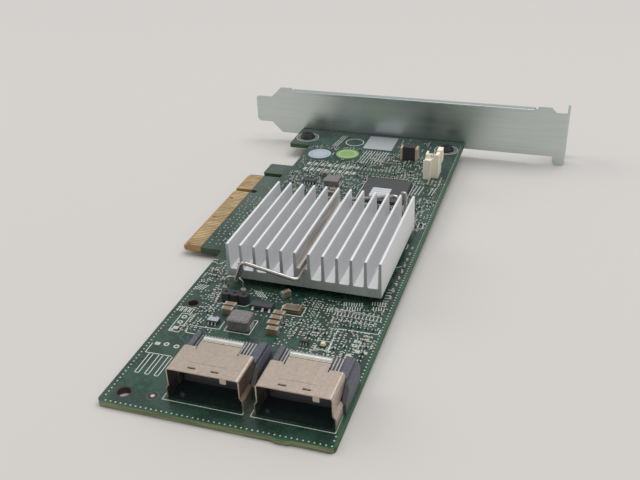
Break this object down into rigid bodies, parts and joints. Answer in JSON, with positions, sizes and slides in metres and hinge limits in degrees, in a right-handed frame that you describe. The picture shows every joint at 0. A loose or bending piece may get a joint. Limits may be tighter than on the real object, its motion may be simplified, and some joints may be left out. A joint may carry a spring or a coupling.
{
  "type": "raid controller card",
  "caption": "Half-length storage controller card with a finned passive cooler, caged cable sockets at one end and a full-height rear bracket at the other.",
  "frame": {"origin": "middle of the card edge's contact line at the key notch, halfway through the board", "axes": "+X from the gold contacts towards the card's top edge, +Y along the card towards the rear bracket, +Z out of the component side"},
  "size_m": [0.12, 0.1797, 0.0217],
  "materials": {
    "board": "semi-gloss solder mask",
    "gold": "hard gold plating",
    "bracket_steel": "zinc plated, satin",
    "black_screw": "black zinc",
    "cooler_aluminium": "satin extruded",
    "spring_wire": "bright drawn wire",
    "solder": "solder",
    "black_mould": "matt moulding compound",
    "thermal_pad": "soft grey pad",
    "socket_plastic": "black nylon",
    "ivory_plastic": "natural nylon",
    "cage_nickel": "nickel plated, satin",
    "tin": "tin plated",
    "ferrite": "ferrite",
    "cream_terminal": "cream ceramic",
    "iron_powder": "pressed iron powder",
    "lid_steel": "nickel plated",
    "amber_lens": "clear resin",
    "brown_ceramic": "fired ceramic",
    "black_ceramic": "glazed",
    "tan_ceramic": "fired ceramic",
    "white_label": "matt paper",
    "pale_label": "matt paper",
    "lime_label": "matt paper"
  },
  "bodies": {
    "root": {"board": "board", "edge_contacts": "gold", "bracket": "bracket_steel", "bracket_screws": "black_screw", "heat_sink": "cooler_aluminium", "heat_sink_clip": "spring_wire", "clip_anchors": "spring_wire", "anchor_solder": "solder", "controller_chip": "black_mould", "thermal_pad": "thermal_pad", "header_body": "socket_plastic", "header_contacts": "gold", "supply_socket_body": "ivory_plastic", "supply_pins": "gold", "memory_chip": "black_mould", "left_cage": "cage_nickel", "right_cage": "cage_nickel", "left_socket_housing": "socket_plastic", "right_socket_housing": "socket_plastic", "left_socket_contacts": "tin", "right_socket_contacts": "tin", "choke_body": "ferrite", "choke_ends": "cream_terminal", "coil_body": "iron_powder", "coil_ends": "tin", "filter_coil_body": "iron_powder", "filter_coil_ends": "tin", "crystal_base": "gold", "crystal_lid": "lid_steel", "lamp_base": "ivory_plastic", "lamp_lens": "amber_lens", "power_switch_body": "black_mould", "power_switch_leads": "tin", "small_chips": "black_mould", "small_chip_leads": "tin", "capacitors": "brown_ceramic", "capacitor_ends": "tin", "chip_resistors": "black_ceramic", "chip_resistor_ends": "tin", "chip_capacitors": "tan_ceramic", "chip_capacitor_ends": "tin", "underside_capacitors": "tan_ceramic", "underside_capacitor_ends": "tin", "memory_label": "white_label", "stock_label": "white_label", "pale_dot_label": "pale_label", "lime_dot_label": "lime_label"}
  },
  "joints": []
}
